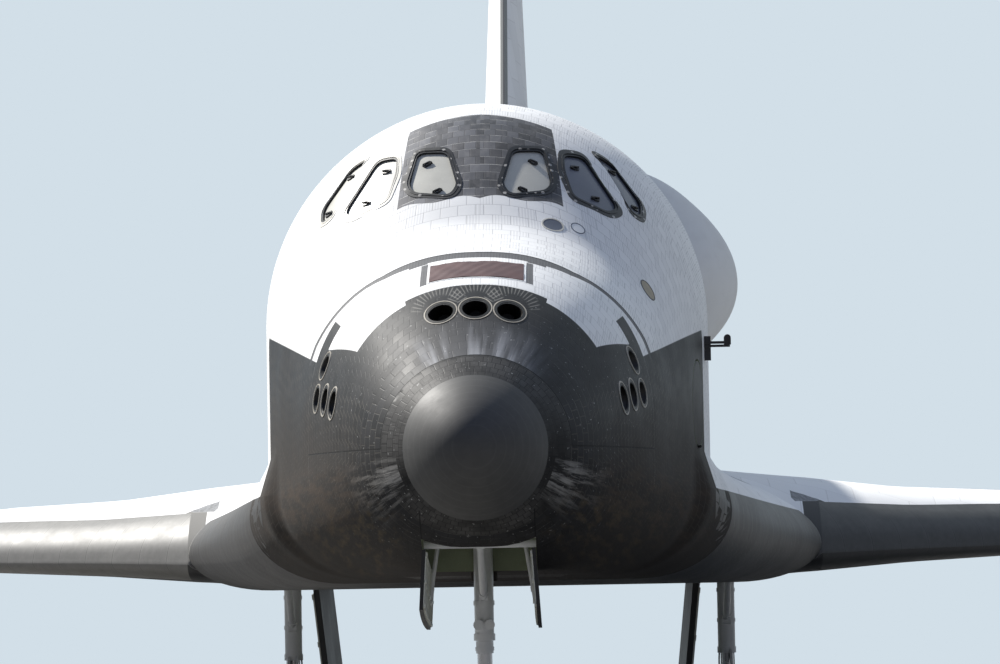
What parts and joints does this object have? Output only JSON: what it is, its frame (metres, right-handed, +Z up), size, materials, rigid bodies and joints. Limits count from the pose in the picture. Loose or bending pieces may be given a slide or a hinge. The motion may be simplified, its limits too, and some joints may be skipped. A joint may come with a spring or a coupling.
{
  "type": "winged space shuttle orbiter",
  "caption": "Winged spaceplane on its landing gear, with opening payload bay doors, side hatch, elevons, body flap, split rudder and rolling wheels.",
  "frame": {"origin": "on the ground, under the middle of the overall box", "axes": "+X to port, +Y aft, +Z up; nose towards -Y, parked three degrees nose down"},
  "size_m": [23.7934, 36.5768, 17.2704],
  "materials": {
    "nose_carbon": "satin grey carbon, darker below",
    "edge_carbon": "pale grey carbon panels with seams",
    "white_tile": "white ceramic tiles with fine joints, black below",
    "white_blanket": "quilted white insulation blankets",
    "black_tile": "black ceramic tiles with fine joints",
    "window_cover": "matt grey-beige",
    "radiator_metal": "silvery film over honeycomb",
    "nozzle_metal": "heat-tinted metal",
    "cabin_paint": "matt grey paint",
    "bare_metal": "dark worn metal",
    "gear_paint": "satin grey-white paint",
    "tyre_rubber": "matt black rubber"
  },
  "bodies": {
    "orbiter": {"nose_cap": "nose_carbon", "forward_thruster_module": "white_tile", "forward_fuselage": "white_tile", "window_cover_front_port": "window_cover", "window_cover_front_stbd": "window_cover", "window_cover_middle_port": "window_cover", "window_cover_middle_stbd": "window_cover", "window_cover_side_port": "window_cover", "window_cover_side_stbd": "window_cover", "cabin_interior": "cabin_paint", "side_arm": "bare_metal", "mid_fuselage": "white_blanket", "aft_fuselage": "white_blanket", "main_engine_top": "nozzle_metal", "main_engine_port": "nozzle_metal", "main_engine_stbd": "nozzle_metal", "engine_pod_port": "white_blanket", "engine_pod_stbd": "white_blanket", "pod_nozzle_port": "nozzle_metal", "pod_nozzle_stbd": "nozzle_metal", "wing_port": "white_blanket", "wing_stbd": "white_blanket", "wing_leading_edge_port": "edge_carbon", "wing_leading_edge_stbd": "edge_carbon", "vertical_fin": "white_blanket", "nose_gear_strut": "gear_paint", "nose_gear_door_port": "black_tile", "nose_gear_door_stbd": "black_tile", "main_gear_strut_port": "gear_paint", "main_gear_strut_stbd": "gear_paint", "main_gear_door_port": "black_tile", "main_gear_door_stbd": "black_tile"},
    "payload_door_port": {"payload_door_port": "white_blanket", "radiator_port": "radiator_metal"},
    "payload_door_stbd": {"payload_door_stbd": "white_blanket", "radiator_stbd": "radiator_metal"},
    "side_hatch": {"side_hatch": "white_tile"},
    "elevon_inner_port": {"elevon_inner_port": "white_blanket"},
    "elevon_inner_stbd": {"elevon_inner_stbd": "white_blanket"},
    "elevon_outer_port": {"elevon_outer_port": "white_blanket"},
    "elevon_outer_stbd": {"elevon_outer_stbd": "white_blanket"},
    "body_flap": {"body_flap": "black_tile"},
    "rudder": {"rudder_spine": "bare_metal"},
    "rudder_panel_port": {"rudder_panel_port": "white_blanket"},
    "rudder_panel_stbd": {"rudder_panel_stbd": "white_blanket"},
    "umbilical_door_port": {"umbilical_door_port": "black_tile"},
    "umbilical_door_stbd": {"umbilical_door_stbd": "black_tile"},
    "nose_gear": {"nose_gear_leg": "gear_paint"},
    "nose_wheels": {"nose_wheels": "tyre_rubber"},
    "main_wheels_port": {"main_wheels_port": "tyre_rubber"},
    "main_wheels_stbd": {"main_wheels_stbd": "tyre_rubber"}
  },
  "joints": [
    {"name": "payload_door_port_hinge", "type": "hinge", "parent": "orbiter", "child": "payload_door_port", "pos_m": [2.692, -0.4259, 6.2198], "axis": [0, 0.9986, 0.0523], "range_deg": [0, 175.5]},
    {"name": "payload_door_stbd_hinge", "type": "hinge", "parent": "orbiter", "child": "payload_door_stbd", "pos_m": [-2.692, -0.4259, 6.2198], "axis": [0, -0.9986, -0.0523], "range_deg": [0, 175.5]},
    {"name": "side_hatch_hinge", "type": "hinge", "parent": "orbiter", "child": "side_hatch", "pos_m": [2.548, -11.49628, 3.54876], "axis": [0, 0.9986, 0.0523], "range_deg": [0, 90]},
    {"name": "elevon_inner_port_hinge", "type": "hinge", "parent": "orbiter", "child": "elevon_inner_port", "pos_m": [5.4, 10.98727, 3.59206], "axis": [0.9995, -0.0016, 0.0315], "range_deg": [-25, 40]},
    {"name": "elevon_outer_port_hinge", "type": "hinge", "parent": "orbiter", "child": "elevon_outer_port", "pos_m": [9.8, 10.98001, 3.73059], "axis": [0.9995, -0.0016, 0.0315], "range_deg": [-25, 40]},
    {"name": "elevon_inner_stbd_hinge", "type": "hinge", "parent": "orbiter", "child": "elevon_inner_stbd", "pos_m": [-5.4, 10.98727, 3.59206], "axis": [0.9995, 0.0016, -0.0315], "range_deg": [-25, 40]},
    {"name": "elevon_outer_stbd_hinge", "type": "hinge", "parent": "orbiter", "child": "elevon_outer_stbd", "pos_m": [-9.8, 10.98001, 3.73059], "axis": [0.9995, 0.0016, -0.0315], "range_deg": [-25, 40]},
    {"name": "body_flap_hinge", "type": "hinge", "parent": "orbiter", "child": "body_flap", "pos_m": [0, 14.6752, 3.63258], "axis": [1, 0, 0], "range_deg": [-22.55, 11.7]},
    {"name": "rudder_hinge", "type": "hinge", "parent": "orbiter", "child": "rudder", "pos_m": [0, 14.94402, 13.59542], "axis": [0, 0.5272, 0.8498], "range_deg": [-27.1, 27.1]},
    {"name": "speed_brake_port_hinge", "type": "hinge", "parent": "rudder", "child": "rudder_panel_port", "pos_m": [0.397, 13.36077, 10.92954], "axis": [0.0275, -0.527, -0.8494], "range_deg": [0, 49.3]},
    {"name": "speed_brake_stbd_hinge", "type": "hinge", "parent": "rudder", "child": "rudder_panel_stbd", "pos_m": [-0.397, 13.36077, 10.92954], "axis": [0.0275, 0.527, 0.8494], "range_deg": [0, 49.3]},
    {"name": "umbilical_door_port_hinge", "type": "hinge", "parent": "orbiter", "child": "umbilical_door_port", "pos_m": [1.284, 9.7273, 2.88961], "axis": [0, 0.9966, 0.0818], "range_deg": [0, 170]},
    {"name": "umbilical_door_stbd_hinge", "type": "hinge", "parent": "orbiter", "child": "umbilical_door_stbd", "pos_m": [-1.284, 9.7273, 2.88961], "axis": [0, -0.9966, -0.0818], "range_deg": [0, 170]},
    {"name": "nose_steering", "type": "hinge", "parent": "orbiter", "child": "nose_gear", "pos_m": [0, -14.55105, 1.20968], "axis": [0, -0.0523, 0.9986], "range_deg": [-10, 10]},
    {"name": "nose_wheels_spin", "type": "hinge", "parent": "nose_gear", "child": "nose_wheels", "pos_m": [0, -14.50892, 0.40584], "axis": [1, 0, 0], "continuous": true},
    {"name": "main_wheels_port_spin", "type": "hinge", "parent": "orbiter", "child": "main_wheels_port", "pos_m": [3.455, 5.67845, 0.56444], "axis": [1, 0, 0], "continuous": true},
    {"name": "main_wheels_stbd_spin", "type": "hinge", "parent": "orbiter", "child": "main_wheels_stbd", "pos_m": [-3.455, 5.67845, 0.56444], "axis": [1, 0, 0], "continuous": true}
  ],
  "couplings": [
    {"joint": "speed_brake_stbd_hinge", "follows": "speed_brake_port_hinge", "ratio": 1}
  ]
}
